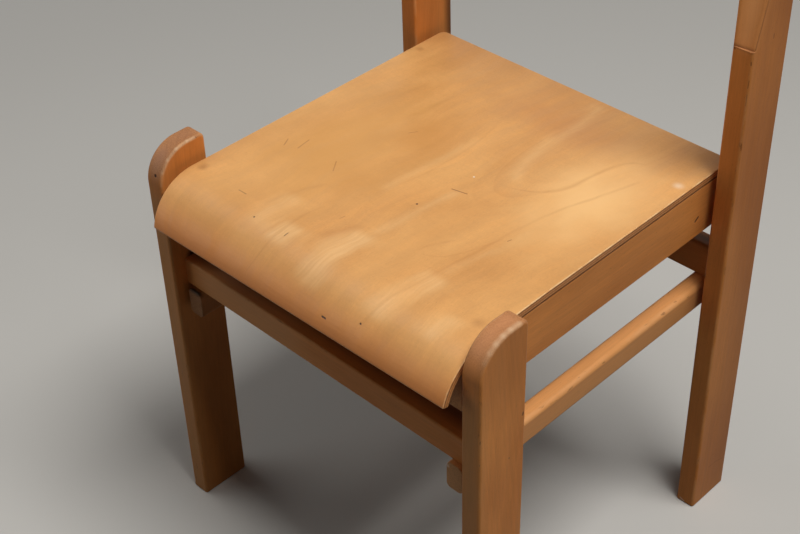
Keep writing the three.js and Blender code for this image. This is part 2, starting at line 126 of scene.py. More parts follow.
# Backrest
BACK_THICKNESS = 9.0
BACK_HEIGHT = 86.0
BACK_TOP = TOTAL_HEIGHT - 7.0
BACK_HOLLOW = 19.0
BACK_HALF_WIDTH = LEG_OUTER - 1.5
BACK_CORNER = 22.0
BACK_ARRIS = 2.0

# Both panels: how far in their ends are rounded through their thickness, and how far in they wear
END_ROUNDING = 2.0
END_WEAR = 1.8
SEAT_END_ROUNDING = 0.8

# Screws
HEAD_ROOM = 4.5
SEAT_SCREW_HEAD = 420.0
SEAT_SCREW_DEPTHS = (60.0, 205.25, 350.5)
BACK_SCREW_HEAD = 13.2
BACK_SCREW_REACH = 60.0
BACK_SCREW_ROWS = (18.0, 68.0)


def at(x, y, z):
    return Vector((x, y + DEPTH_SHIFT, z)) * MM


def drawn_in(distance, radius):
    """How far a rounded edge draws in, at a distance in from its end."""
    short = max(radius - distance, 0.0)
    return radius - math.sqrt(radius * radius - short * short)


def smooth(share):
    share = min(max(share, 0.0), 1.0)
    return share * share * (3 - 2 * share)


def add_object(name, data):
    """A new object in the scene."""
    thing = bpy.data.objects.new(name, data)
    bpy.context.scene.collection.objects.link(thing)
    return thing


def make_camera():
    data = bpy.data.cameras.new("camera")
    data.sensor_fit = "HORIZONTAL"
    data.sensor_width = SENSOR_WIDTH
    data.lens = FOCAL_PIXELS * SENSOR_WIDTH / IMAGE_WIDTH
    data.clip_start = NEAR_CLIP
    camera = add_object("camera", data)
    sin_az, cos_az = math.sin(CAMERA_AZIMUTH), math.cos(CAMERA_AZIMUTH)
    sin_el, cos_el = math.sin(CAMERA_ELEVATION), math.cos(CAMERA_ELEVATION)
    forward = Vector((-sin_az * cos_el, cos_az * cos_el, -sin_el))
    right = Vector((cos_az, sin_az, 0.0))
    up = right.cross(forward)
    rolled_right = right * math.cos(CAMERA_ROLL) + up * math.sin(CAMERA_ROLL)
    rolled_up = up * math.cos(CAMERA_ROLL) - right * math.sin(CAMERA_ROLL)
    turn = Matrix((rolled_right, rolled_up, -forward)).transposed().to_4x4()
    camera.matrix_world = Matrix.Translation(CAMERA_PLACE) @ turn
    bpy.context.scene.camera = camera


make_camera()


# Outlines. Each point is (x, y, wear, outward x, outward y): wear is 1 in the middle of an arris.

LARGEST_ARRIS = 15.0


def rounded(corners):
    """An anticlockwise outline round corners, each (x, y, radius, steps)."""
    points = []
    for i, (x, y, radius, steps) in enumerate(corners):
        corner = Vector((x, y))
        before = (Vector(corners[i - 1][:2]) - corner).normalized()
        after = (Vector(corners[(i + 1) % len(corners)][:2]) - corner).normalized()
        half = math.acos(max(-1.0, min(1.0, before.dot(after)))) / 2
        bisector = (before + after).normalized()
        if radius == 0:
            out = -bisector / math.sin(half)
            points.append((x, y, 1.0 if half < 1.3 else 0.0, out.x, out.y))
            continue
        centre = corner + bisector * (radius / math.sin(half))
        start = corner + before * (radius / math.tan(half)) - centre
        sweep = math.pi - 2 * half
        for k in range(steps + 1):
            share = k / steps
            turn = Matrix.Rotation(sweep * share, 2)
            ray = turn @ start
            out = ray.normalized()
            wear = math.sin(math.pi * share) if radius < LARGEST_ARRIS else 0.0
            points.append((centre.x + ray.x, centre.y + ray.y, wear, out.x, out.y))
    return points


def rectangle(width, low, high, radius, steps=4):
    half = width / 2
    return rounded([
        (-half, low, radius, steps), (half, low, radius, steps),
        (half, high, radius, steps), (-half, high, radius, steps),
    ])


# Meshes


def make_object(name, points, faces, wear, grain=None):
    """A piece from points in metres, with its wear, and its own grain measure if it has one."""
    mesh = bpy.data.meshes.new(name)
    mesh.from_pydata(points, [], faces)
    attribute = mesh.attributes.new("wear", "FLOAT", "POINT")
    attribute.data.foreach_set("value", wear)
    if grain:
        attribute = mesh.attributes.new("grain", "FLOAT_VECTOR", "POINT")
        attribute.data.foreach_set("vector", [c for vector in grain for c in vector])
    mesh.validate()
    mesh.update()
    return add_object(name, mesh)


def even_shading(piece):
    """Smooth shading that leaves the crisp edges crisp and the flat faces flat."""
    piece.data.shade_smooth()
    piece.data.set_sharp_from_angle(angle=math.radians(30))
    weighted = piece.modifiers.new("even_shading", "WEIGHTED_NORMAL")
    weighted.keep_sharp = True
    weighted.weight = 100


def skin(rings):
    """Faces over rings of equal count, with both ends closed."""
    count = len(rings[0])
    faces = []
    for ring in range(len(rings) - 1):
        for i in range(count):
            low, low_next = ring * count + i, ring * count + (i + 1) % count
            faces.append((low, low_next, low_next + count, low + count))
    faces.append(tuple(reversed(range(count))))
    last = (len(rings) - 1) * count
    faces.append(tuple(range(last, last + count)))
    return faces


def loft(name, rings, grain=None):
    """rings hold (x, y, z, wear) in millimetres."""
    points = [at(*point[:3]) for ring in rings for point in ring]
    wear = [point[3] for ring in rings for point in ring]
    return make_object(name, points, skin(rings), wear, grain)


def board(name, outline, middle, thickness, arris, steps=5):
    """A board on edge: the outline is in y and z, and its arrises are rounded all round."""
    turns = [math.pi / 2 * k / steps for k in range(steps + 1)]
    levels = [
        (thickness / 2 - arris * (1 - math.cos(t)), arris * (1 - math.sin(t)), math.sin(2 * t))
        for t in turns
    ]
    rings = []
    for x, inset, wear in [(-x, i, w) for x, i, w in levels] + levels[::-1]:
        most = 0.0 if inset == arris else 1.0
        rings.append([(middle + x, y - inset * oy, z - inset * oz, min(most, max(wear, edge)))
                      for y, z, edge, oy, oz in outline])
    return loft(name, rings)


def mirrored(piece, name):
    """The twin on the other side of the chair."""
    twin = piece.copy()
    twin.data = piece.data.copy()
    twin.name = name
    twin.data.name = name
    twin.data.transform(Matrix.Scale(-1, 4, Vector((1, 0, 0))))
    twin.data.flip_normals()
    bpy.context.scene.collection.objects.link(twin)
    return twin


def saw_feet(piece):
    """Cuts a leg off at the floor and rounds the sawn edge a little."""
    bm = bmesh.new()
    bm.from_mesh(piece.data)
    cut = bmesh.ops.bisect_plane(
        bm, geom=bm.verts[:] + bm.edges[:] + bm.faces[:], dist=1e-6,
        plane_co=(0, 0, 0), plane_no=(0, 0, -1), clear_outer=True)
    rim = [e for e in cut["geom_cut"] if isinstance(e, bmesh.types.BMEdge)]
    face = bmesh.ops.contextual_create(bm, geom=rim)["faces"]
    bmesh.ops.bevel(
        bm, geom=[e for f in face for e in f.edges], offset=FOOT_ARRIS * MM, segments=3,
        profile=0.5, affect="EDGES", clamp_overlap=True)
    bmesh.ops.recalc_face_normals(bm, faces=bm.faces)
    bm.to_mesh(piece.data)
    bm.free()


def drill(piece, holes):
    """Bores round holes into a piece: each is (one end, other end, radius) in metres."""
    tool_mesh = bmesh.new()
    for start, end, radius in holes:
        line = end - start
        turn = Vector((0, 0, 1)).rotation_difference(line.normalized()).to_matrix().to_4x4()
        bmesh.ops.create_cone(
            tool_mesh, cap_ends=True, segments=28, radius1=radius, radius2=radius,
            depth=line.length, matrix=Matrix.Translation((start + end) / 2) @ turn)
    mesh = bpy.data.meshes.new("bit")
    tool_mesh.to_mesh(mesh)
    tool_mesh.free()
    tool = add_object("bit", mesh)
    boolean = piece.modifiers.new("bores", "BOOLEAN")
    boolean.solver = "EXACT"
    boolean.object = tool
    bpy.context.view_layer.update()
    graph = bpy.context.evaluated_depsgraph_get()
    piece.data = bpy.data.meshes.new_from_object(piece.evaluated_get(graph))
    piece.modifiers.remove(boolean)
    bpy.data.objects.remove(tool)


# The pieces


def rear_face(z):
    """Where the rear legs' front face is at a height."""
    return LEG_SPACING - REAR_LEAN * z / SEAT_HEIGHT


FLAT_START = rear_face(FLAT_FOOT) + FLAT_SHOULDER


def flat_y(z):
    """Where the planed flats are at a height."""
    return FLAT_START + (z - FLAT_FOOT) * math.tan(FLAT_RECLINE)


def front_leg(name):
    outline = rounded([
        (0, -SAWN_OFF, 0, 1), (FRONT_LEG_DEPTH, -SAWN_OFF, 0, 1),
        (FRONT_LEG_DEPTH, FRONT_LEG_HEIGHT, FRONT_LEG_BACK_RADIUS, 5),
        (0, FRONT_LEG_HEIGHT, LEG_TOP_RADIUS, 22),
    ])
    leg = board(name, outline, LEG_OUTER - LEG_THICKNESS / 2, LEG_THICKNESS, LEG_ARRIS)
    saw_feet(leg)
    return leg


def rear_leg_ring(z, planed, inset=0.0):
    """A level section of the right rear leg, with the planed flat taken off its front."""
    face = rear_face(z)
    from_top = TOTAL_HEIGHT - z
    half = LEG_THICKNESS / 2 - drawn_in(from_top, LEG_ARRIS) - inset
    middle = LEG_OUTER - LEG_THICKNESS / 2
    back = face + LEG_DEPTH - drawn_in(from_top, REAR_TOP_RADIUS) - inset
    outer = flat_y(z)
    shallow = face + FLAT_INNER_SHOULDER * (1 + min((z - FLAT_FOOT) / FLAT_RUN_IN, 1))
    inner = shallow + (outer - shallow) * smooth((z - FLAT_FOOT - FLAT_RUN_IN) / FLAT_CATCH_UP)
    extra = drawn_in(from_top, FLAT_TOP_ARRIS) if planed else 0.0
    radius = max(LEG_ARRIS - inset, 1.0)
    steps = 9
    outline = rounded([
        (middle - half, face + inset, radius, steps), (middle + half, face + inset, radius, steps),
        (middle + half, back, radius, 7), (middle - half, back, radius, 7),
    ])
    front_count = 2 * (steps + 1)
    ring = []
    for x, y, wear, _, _ in outline[:front_count]:
        if planed:
            share = (x - LEG_INNER) / LEG_THICKNESS
            line = inner + (outer - inner) * share + extra
            if y < line:
                near_side = min(abs(x - middle - half), abs(x - middle + half))
                y, wear = line, max(0.0, 1 - near_side / FLAT_ARRIS_WEAR)
        ring.append((x, y, z, wear))
    # A point behind each arris of the flat keeps the sides flat up to it
    guard = 0.9
    right_guard = (middle + half, ring[-1][1] + guard, z, 0.0)
    left_guard = (middle - half, ring[0][1] + guard, z, 0.0)
    rest = [(x, y, z, wear) for x, y, wear, _, _ in outline[front_count:]]
    return [left_guard, *ring, right_guard, *rest]


def rear_leg(name):
    levels = [
        (FOOT_ARRIS * (1 - math.cos(t)), False, FOOT_ARRIS * (1 - math.sin(t)))
        for t in (math.pi / 6 * k for k in range(4))
    ]
    levels += [(z, False, 0.0) for z in (150, 300, 450, 560, 590, FLAT_FOOT)]
    ledge = FLAT_FOOT + 0.12
    levels += [(ledge + FLAT_RUN_IN * k / 16, True, 0.0) for k in range(16)]
    levels += [(FLAT_FOOT + FLAT_RUN_IN + FLAT_CATCH_UP * k / 16, True, 0.0) for k in range(17)]
    levels += [(z, True, 0.0) for z in (700, 735)]
    turns = [math.pi / 18 * k for k in range(10)]
    levels += [(TOTAL_HEIGHT - REAR_TOP_RADIUS * (1 - math.sin(t)), True, 0.0) for t in turns]
    leg = loft(name, [rear_leg_ring(*level) for level in levels])
    turn = Matrix.Rotation(-FLAT_RECLINE, 4, "X")
    low = BACK_TOP - BACK_HEIGHT * math.cos(FLAT_RECLINE)
    base = at(LEG_OUTER - LEG_THICKNESS / 2, flat_y(low), low)
    holes = []
    for row in BACK_SCREW_ROWS:
        start = base + turn @ Vector((0, BACK_SCREW_HEAD * MM, row * MM))
        end = base + turn @ Vector((0, BACK_SCREW_REACH * MM, row * MM))
        holes.append((start, end, HEAD_ROOM * MM))
    drill(leg, holes)
    return leg


def cross_rail(name, end):
    """A rail from leg to leg, with its tenons."""
    face, back, low, high, arris = CROSS_RAILS[end]
    half = (back - face) / 2
    depth = (face + back) / 2
    section = rounded([
        (-half, low, CROSS_RAIL_LOW_ARRIS, 4), (half, low, CROSS_RAIL_LOW_ARRIS, 4),
        (half, high, CROSS_RAIL_ARRIS, 4), (-half, high, arris, 4),
    ])
    length, thickness, height, rounding = CROSS_RAIL_TENON
    middle = (low + high) / 2
    tenon = rectangle(thickness, middle - height / 2, middle + height / 2, rounding)
    shoulder = LEG_INNER - GAP
    stations = [(-shoulder - length, tenon), (-shoulder, tenon), (-shoulder, section),
                (shoulder, section), (shoulder, tenon), (shoulder + length, tenon)]
    rings = [[(x, depth + y, z, wear) for y, z, wear, _, _ in shape] for x, shape in stations]
    return loft(name, rings)


def side_rail(name):
    """A rail on edge, whose front end follows the inside of the seat's roll."""
    low, high = SIDE_RAIL
    front, rear = SIDE_RAIL_SPAN
    scribe = ROLL_RADIUS - SEAT_THICKNESS - GAP
    lowest = math.asin((ROLL_START - front) / scribe)
    outline = [(front, low, 0, 1), (rear, low, 0, 1), (rear, high, 0, 1)]
    for k in range(9):
        turn = lowest * k / 8
        y, z = ROLL_START - scribe * math.sin(turn), high - scribe * (1 - math.cos(turn))
        outline.append((y, z, 0, 1))
    middle = RAIL_OUTER - RAIL_THICKNESS / 2
    rail = board(name, rounded(outline), middle, RAIL_THICKNESS, SIDE_RAIL_ARRIS, 4)
    drill(rail, [(at(middle, y, low - 5), at(middle, y, SEAT_SCREW_HEAD), HEAD_ROOM * MM)
                 for y in SEAT_SCREW_DEPTHS])
    return rail


def stretcher(name):
    low, high = STRETCHER
    front, rear = STRETCHER_SPAN
    middle = RAIL_OUTER - RAIL_THICKNESS / 2
    rings = []
    arris = STRETCHER_END_ARRIS
    ends = [
        (front + arris * (1 - math.cos(t)), arris * (1 - math.sin(t)), math.sin(2 * t))
        for t in (math.pi / 6 * k for k in range(4))
    ]
    stations = ends + [(front + rear - y, inset, wear) for y, inset, wear in ends[::-1]]
    for y, inset, end_wear in stations:
        width, radius = RAIL_THICKNESS - 2 * inset, STRETCHER_ARRIS - inset
        section = rectangle(width, low + inset, high - inset, radius, 6)
        rings.append([
            (middle + x, y, z, max(wear, end_wear)) for x, z, wear, _, _ in reversed(section)
        ])
    return loft(name, rings)


SEAT_FLAT = SEAT_REAR - ROLL_START
SEAT_ROLL = ROLL_RADIUS * ROLL_ANGLE
SEAT_LENGTH = SEAT_FLAT + SEAT_ROLL + SEAT_LIP


def seat_place(mark, depth):
    """Where a point of the seat lies, from its distance from the rear edge and from the face."""
    turn = min(max(mark - SEAT_FLAT, 0.0) / ROLL_RADIUS, ROLL_ANGLE)
    run = min(mark, SEAT_FLAT)
    beyond = max(mark - SEAT_FLAT - SEAT_ROLL, 0.0)
    y = SEAT_REAR - run - ROLL_RADIUS * math.sin(turn) - beyond * math.cos(turn)
    z = SEAT_HEIGHT - ROLL_RADIUS * (1 - math.cos(turn)) - beyond * math.sin(turn)
    return y - depth * math.sin(turn), z + depth * math.cos(turn)


def seat_panel(name):
    """The seat: its roll is sawn a little out of square, and swells to the right."""
    marks = [0.0, 0.15, 0.6, 1.2, 2, 3, 4.5, 6, 7.5, 9, 40, 160, 280, SEAT_FLAT]
    marks += [SEAT_FLAT + SEAT_ROLL * k / 28 for k in range(1, 29)]
    marks += [SEAT_LENGTH - d for d in (2.0, 1.2, 0.6, 0.15, 0.0)]
    rings, grain = [], []
    for mark in marks:
        end = min(mark, SEAT_LENGTH - mark)
        pinch = drawn_in(end, END_ROUNDING)
        half_width = RAIL_OUTER - drawn_in(mark, SEAT_REAR_CORNER)
        half_width -= drawn_in(end, SEAT_END_ROUNDING)
        swell = SEAT_SWELL * smooth((mark - SEAT_FLAT + SEAT_SWELL_LEAD) / SEAT_SWELL_RUN)
        down = smooth((mark - SEAT_FLAT) / (SEAT_LENGTH - SEAT_FLAT))
        end_wear = max(0.0, 1 - end / END_WEAR)
        ring = []
        section = rectangle(2 * half_width, 2 * pinch - SEAT_THICKNESS, 0, SEAT_ARRIS)
        for x, depth, wear, _, _ in section:
            depth -= pinch
            share = (x + RAIL_OUTER) / (2 * RAIL_OUTER)
            short = (SEAT_SHORT + SEAT_SKEW * share) * down
            y, z = seat_place(mark - short, depth)
            x += swell * smooth(share * 2 - 1)
            ring.append((x, y, z, max(wear, end_wear)))
            grain.append((x * MM, mark * MM, depth * MM))
        rings.append(ring)
    return loft(name, rings, grain)


def backrest_panel(name):
    """The backrest: upright on the planed flats, with a hollow between the legs."""
    low = BACK_TOP - BACK_HEIGHT * math.cos(FLAT_RECLINE)
    base = at(0, flat_y(low), low)
    turn = Matrix.Rotation(-FLAT_RECLINE, 4, "X")
    distances = [0.0, 0.25, 0.8, 1.6, 3, 5, 8, 12, 17, BACK_CORNER]
    span = BACK_HALF_WIDTH - BACK_CORNER
    across = [d - BACK_HALF_WIDTH for d in distances]
    across += [span * (2 * k / 40 - 1) for k in range(1, 40)]
    across += [BACK_HALF_WIDTH - d for d in distances[::-1]]
    points, wears, grain = [], [], []
    for x in across:
        distance = BACK_HALF_WIDTH - abs(x)
        wave = min(abs(x) / LEG_INNER, 1.0)
        hollow = BACK_HOLLOW * (1 + math.cos(math.pi * wave)) / 2
        pinch = drawn_in(distance, END_ROUNDING)
        height = BACK_HEIGHT - 2 * drawn_in(distance, BACK_CORNER)
        end_wear = max(0.0, 1 - distance / END_WEAR)
        low_edge = (BACK_HEIGHT - height) / 2
        thickness = BACK_THICKNESS - 2 * pinch
        section = rectangle(thickness, low_edge, BACK_HEIGHT - low_edge, BACK_ARRIS)
        for depth, up, wear, _, _ in section:
            local = Vector((x, hollow + depth - BACK_THICKNESS / 2 - GAP, up)) * MM
            points.append(base + turn @ local)
            wears.append(max(wear, end_wear))
            grain.append((up * MM, x * MM, -(depth + BACK_THICKNESS / 2) * MM))
    count = len(section)
    rings = [points[i:i + count] for i in range(0, len(points), count)]
    return make_object(name, points, skin(rings), wears, grain)


PAIRS = {
    "front_leg": front_leg, "rear_leg": rear_leg, "side_rail": side_rail, "stretcher": stretcher,
}
pieces = {}
for kind, build in PAIRS.items():
    pieces[f"{kind}_right"] = build(f"look_{kind}_right")
    pieces[f"{kind}_left"] = mirrored(pieces[f"{kind}_right"], f"look_{kind}_left")
for end in ("front", "rear"):
    pieces[f"{end}_cross_rail"] = cross_rail(f"look_{end}_cross_rail", end)
pieces["seat_panel"] = seat_panel("look_seat_panel")
pieces["backrest_panel"] = backrest_panel("look_backrest_panel")
for node_name, piece in pieces.items():
    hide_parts(node_name)
    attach(piece, "root")
    even_shading(piece)

# Materials


def colour(red, green, blue):
    """A colour written as it shows on a screen, from 0 to 255."""
    shares = (red / 255, green / 255, blue / 255)
    linear = [c / 12.92 if c <= 0.04045 else ((c + 0.055) / 1.055) ** 2.4 for c in shares]
    return (*linear, 1.0)


DARK = colour(62, 34, 18)
BROWN = colour(128, 76, 38)
PALE = colour(244, 232, 214)
RUDDY = colour(192, 128, 78)
# Pale figure with a painted sheen, for the seat's roll
PALE_FIGURE_AND_SHEEN = colour(248, 210, 156)
UMBER = colour(172, 112, 60)

# How far the bumps of the wood rise, in metres
WOOD_RELIEF = 0.00012
STEEL_RELIEF = 0.00003
# The thickness of a ply, in metres
PLY = 0.00134


class Tree:
    """Short ways to add nodes to a material or a world."""

    def __init__(self, owner):
        owner.use_nodes = True
        self.owner = owner
        self.tree = owner.node_tree
        nodes = self.tree.nodes
        self.shader = nodes.get("Principled BSDF") or nodes["Background"]
        self.output = nodes.get("Material Output") or nodes["World Output"]

    def feed(self, socket, value):
        if isinstance(value, bpy.types.NodeSocket):
            self.tree.links.new(value, socket)
        else:
            socket.default_value = value

    def put(self, key, value):
        """Feeds an input of the tree's own shader."""
        self.feed(self.shader.inputs[key], value)

    def node(self, kind, inputs=None, **settings):
        node = self.tree.nodes.new(kind)
        for name, value in settings.items():
            setattr(node, name, value)
        for key, value in (inputs or {}).items():
            self.feed(node.inputs[key], value)
        return node

    def math(self, operation, *values, clamp=False):
        inputs = dict(enumerate(values))
        node = self.node("ShaderNodeMath", inputs, operation=operation, use_clamp=clamp)
        return node.outputs[0]

    def times(self, value, factor):
        return self.math("MULTIPLY", value, factor)

    def affine(self, value, factor, offset):
        return self.math("MULTIPLY_ADD", value, factor, offset)

    def vector(self, operation, *values):
        node = self.node("ShaderNodeVectorMath", dict(enumerate(values)), operation=operation)
        scalar = operation in ("DOT_PRODUCT", "LENGTH")
        return node.outputs["Value" if scalar else "Vector"]

    def noise(self, vector, stretch, detail=2.0, roughness=0.5):
        """Cloudy noise from 0 to 1: stretch gives how many clouds fit in a metre each way."""
        vector = self.vector("MULTIPLY", vector, stretch)
        inputs = {"Vector": vector, "Scale": 1.0, "Detail": detail, "Roughness": roughness}
        return self.node("ShaderNodeTexNoise", inputs).outputs[0]

    def step(self, value, low, high, start=0.0, end=1.0):
        """Goes smoothly from start to end as value goes from low to high."""
        inputs = {"Value": value, "From Min": low, "From Max": high, "To Min": start, "To Max": end}
        return self.node("ShaderNodeMapRange", inputs, interpolation_type="SMOOTHSTEP").outputs[0]

    def blend(self, share, first, second, mode="MIX"):
        node = self.node("ShaderNodeMix", data_type="RGBA", blend_type=mode)
        for index, value in ((0, share), (6, first), (7, second)):
            self.feed(node.inputs[index], value)
        return node.outputs[2]

    def wash(self, tint, mask, strength, shade):
        """Another shade over a colour, as strong as the mask times strength."""
        return self.blend(self.times(mask, strength), tint, shade)

    def brighten(self, tint, factor):
        """A colour times a number."""
        grey = self.node("ShaderNodeCombineXYZ", {0: factor, 1: factor, 2: factor}).outputs[0]
        return self.blend(1.0, tint, grey, "MULTIPLY")

    def split(self, vector):
        return self.node("ShaderNodeSeparateXYZ", {0: vector}).outputs

    def join(self, x, y, z):
        return self.node("ShaderNodeCombineXYZ", {0: x, 1: y, 2: z}).outputs[0]

    def attribute(self, name):
        return self.node("ShaderNodeAttribute", attribute_name=name).outputs

    def segment(self, place, start, end, radius, softness=0.5):
        """1 within radius of the line from start to end, and 0 outside."""
        start, end = Vector(start), Vector(end)
        line = end - start
        reach = self.vector("SUBTRACT", place, tuple(start))
        if line.length > 1e-6:
            along = self.vector("DOT_PRODUCT", reach, tuple(line))
            share = self.math("MULTIPLY", along, 1 / line.length_squared, clamp=True)
            nearest = self.vector("MULTIPLY", tuple(line), self.join(share, share, share))
            reach = self.vector("SUBTRACT", reach, nearest)
        return self.step(self.vector("LENGTH", reach), radius, radius * softness)

    def streak(self, x, run, points, radius, wander):
        """1 along a winding line through points, which are (across, along) in metres, and 0
        beyond radius from it. The curve node's own 0 to 1 stand for 0 to 0.5 m along the seat
        and -0.25 to 0.25 m across it."""
        points = sorted((along, across) for across, along in points)
        first, last = points[0][0], points[-1][0]
        node = self.node("ShaderNodeFloatCurve", {"Value": self.times(run, 2.0)})
        curve = node.mapping.curves[0]
        for spot, (along, across) in zip(curve.points, (points[0], points[-1])):
            spot.location = (along * 2, across * 2 + 0.5)
        for along, across in points[1:-1]:
            curve.points.new(along * 2, across * 2 + 0.5)
        node.mapping.update()
        middle = self.affine(node.outputs[0], 0.5, -0.25)
        off = self.math("ABSOLUTE", self.math("SUBTRACT", x, middle))
        off = self.affine(wander, 0.4 * radius, off)
        mask = self.step(off, radius, -0.2 * radius)
        mask = self.times(mask, self.step(run, first - 0.004, first + 0.01))
        return self.times(mask, self.step(run, last + 0.004, last - 0.01))

    def seen(self):
        """1 for what the camera sees, in reflections too, and 0 for other light."""
        path = self.node("ShaderNodeLightPath").outputs
        return self.most([path[f"Is {kind} Ray"] for kind in ("Camera", "Glossy", "Transmission")])

    def mix(self, share, first, second):
        """Between two shaders."""
        return self.node("ShaderNodeMixShader", {0: share, 1: first, 2: second}).outputs[0]

    def most(self, values):
        result = values[0]
        for value in values[1:]:
            result = self.math("MAXIMUM", result, value)
        return result

    def finish(self, tint, roughness, height, depth):
        """Connects the shader: depth is how far the bumps rise, in metres."""
        self.put("Base Color", tint)
        self.put("Roughness", roughness)
        bump = self.node("ShaderNodeBump", {"Strength": 1.0, "Distance": depth, "Height": height})
        self.put("Normal", bump.outputs[0])
        return self.owner


def growth(t, grain, pith, ring_width, sway=0.006, faint=-0.4):
    """The figure of the growth rings: 0 in the early wood, up to 1 at a ring's dark edge; and
    the distance from the pith. The grain runs along the third coordinate, and pith is (x, y,
    how it leans each way)."""
    x, y, z = t.split(grain)
    bend = t.noise(grain, (9, 9, 1.7), 3)
    bend = t.times(t.math("SUBTRACT", bend, 0.5), sway * 2)
    x = t.math("ADD", t.affine(z, pith[2], x), -pith[0])
    y = t.math("ADD", t.affine(z, pith[3], y), -pith[1])
    radius = t.vector("LENGTH", t.join(x, y, 0.0))
    radius = t.math("ADD", radius, bend)
    rings = t.math("DIVIDE", radius, ring_width)
    inputs = {"W": rings, "Scale": 0.37, "Detail": 1.0}
    uneven = t.node("ShaderNodeTexNoise", inputs, noise_dimensions="1D").outputs[0]
    rings = t.affine(uneven, 2.2, rings)
    part = t.math("FRACT", rings)
    inputs = {"W": t.math("FLOOR", rings)}
    strength = t.node("ShaderNodeTexWhiteNoise", inputs, noise_dimensions="1D").outputs[0]
    ring = t.times(t.step(part, 0.15, 0.94), t.step(part, 1.0, 0.95))
    return t.times(ring, t.step(strength, faint, 1.0)), radius


def flecks(t, grain, stretch=(620, 620, 120), size=0.2):
    """Short dark dashes along the grain."""
    inputs = {"Vector": t.vector("MULTIPLY", grain, stretch), "Scale": 1.0}
    node = t.node("ShaderNodeTexVoronoi", inputs)
    chance = t.split(node.outputs["Color"])[0]
    dash = t.step(node.outputs["Distance"], size, size * 0.45)
    return t.times(dash, t.step(chance, 0.35, 0.6))


def along_grain(t, axis):
    """The place on a piece with its grain as the third coordinate, how far its face is end
    grain, and the place as it is."""
    coordinates = t.node("ShaderNodeTexCoord").outputs
    x, y, z = t.split(coordinates["Object"])
    order = {"X": (y, z, x), "Y": (z, x, y), "Z": (x, y, z)}[axis]
    facing = t.split(coordinates["Normal"])["XYZ".index(axis)]
    return t.join(*order), t.math("ABSOLUTE", facing), coordinates["Object"]


def beech(name, axis, seed, tint=1.0, marks=(), pale=0.0):
    """Lacquered beech, with its grain along an axis. Each mark is (from, to, radius, colour,
    strength), and the dark ones are cut into the surface."""
    t = Tree(bpy.data.materials.new(name))
    dice = random.Random(seed)
    grain, end_grain, place = along_grain(t, axis)
    shifted = t.vector("ADD", grain, tuple(dice.uniform(-4, 4) for _ in range(3)))
    angle = dice.uniform(0, 2 * math.pi)
    distance = dice.uniform(0.05, 0.11)
    pith = (
        distance * math.cos(angle), distance * math.sin(angle),
        dice.uniform(-0.05, 0.05), dice.uniform(-0.05, 0.05),
    )
    ring, _ = growth(t, grain, pith, dice.uniform(0.0026, 0.0038))
    tone = t.noise(shifted, (12, 12, 4), 3)
    streak = t.noise(shifted, (190, 190, 11), 3, 0.6)
    fibre = t.noise(shifted, (620, 620, 55), 3, 0.6)
    fleck = flecks(t, shifted)
    wear = t.attribute("wear")[2]
    ends = t.step(end_grain, 0.02, 0.55)

    # Tone, growth rings, flecks and fibre
    band = t.noise(shifted, (48, 48, 6), 3, 0.6)
    body = t.blend(t.step(tone, 0.3, 0.7), colour(224, 147, 78), colour(200, 124, 60))
    body = t.wash(body, ring, 0.1, colour(142, 84, 43))
    body = t.brighten(body, t.step(band, 0.25, 0.75, 0.94, 1.06))
    dashes = t.times(fleck, t.affine(ends, -0.3, 0.34))
    body = t.blend(dashes, body, colour(120, 70, 36))
    light = t.affine(streak, 0.14, 0.93)
    light = t.times(light, t.affine(fibre, 0.26, 0.87))
    body = t.brighten(body, t.times(light, tint))
    # End grain
    pores = t.noise(shifted, (1000, 1000, 600), 3, 0.7)
    sawn = t.affine(t.step(tone, 0.35, 0.65), 0.3, t.step(pores, 0.3, 0.7, 0.0, 0.5))
    sawn = t.affine(ring, 0.12, sawn)
    sawn = t.blend(sawn, colour(204, 148, 102), colour(108, 68, 42))
    body = t.blend(t.times(ends, 0.85), body, t.brighten(sawn, tint))
    # Paler wood; on the right stretcher this is a painted highlight
    if pale:
        body = t.blend(pale, body, colour(214, 172, 124))

    # Rubbed arrises, paler partly from wear and partly as a painted highlight, and nicked arrises
    rub = t.noise(shifted, (60, 60, 22), 4, 0.65)
    rubbed_and_sheen = t.times(wear, t.step(rub, 0.42, 0.66))
    body = t.wash(body, rubbed_and_sheen, 0.5, colour(224, 168, 116))
    nick = t.noise(shifted, (330, 330, 60), 3, 0.65)
    nicked = t.times(t.step(wear, 0.1, 0.7), t.step(nick, 0.62, 0.7))
    body = t.wash(body, nicked, 0.5, colour(82, 46, 24))
    height = t.affine(fibre, 0.35, t.times(nicked, -2.0))
    height = t.affine(fleck, -0.5, height)
    height = t.affine(t.noise(shifted, (55, 55, 9), 2), 3.0, height)
    rough = t.affine(streak, 0.16, 0.38)
    rough = t.affine(rubbed_and_sheen, 0.14, rough)
    rough = t.affine(ends, 0.12, rough)
    # Marks: dents and scratches, and some painted shade, shadow or sheen
    for start, end, radius, shade, strength in marks:
        cut = shade == DARK
        start, end = [c * MM for c in start], [c * MM for c in end]
        mask = t.segment(place, start, end, radius * MM, 0.5 if cut else 0.0)
        share = strength if cut else t.step(rub, 0.2, 0.6, 0.8 * strength, strength)
        mask = t.times(mask, share)
        body = t.blend(mask, body, shade)
        if cut:
            height = t.affine(mask, -2.5, height)
    t.put("Specular IOR Level", 0.15)
    return t.finish(body, rough, height, WOOD_RELIEF)


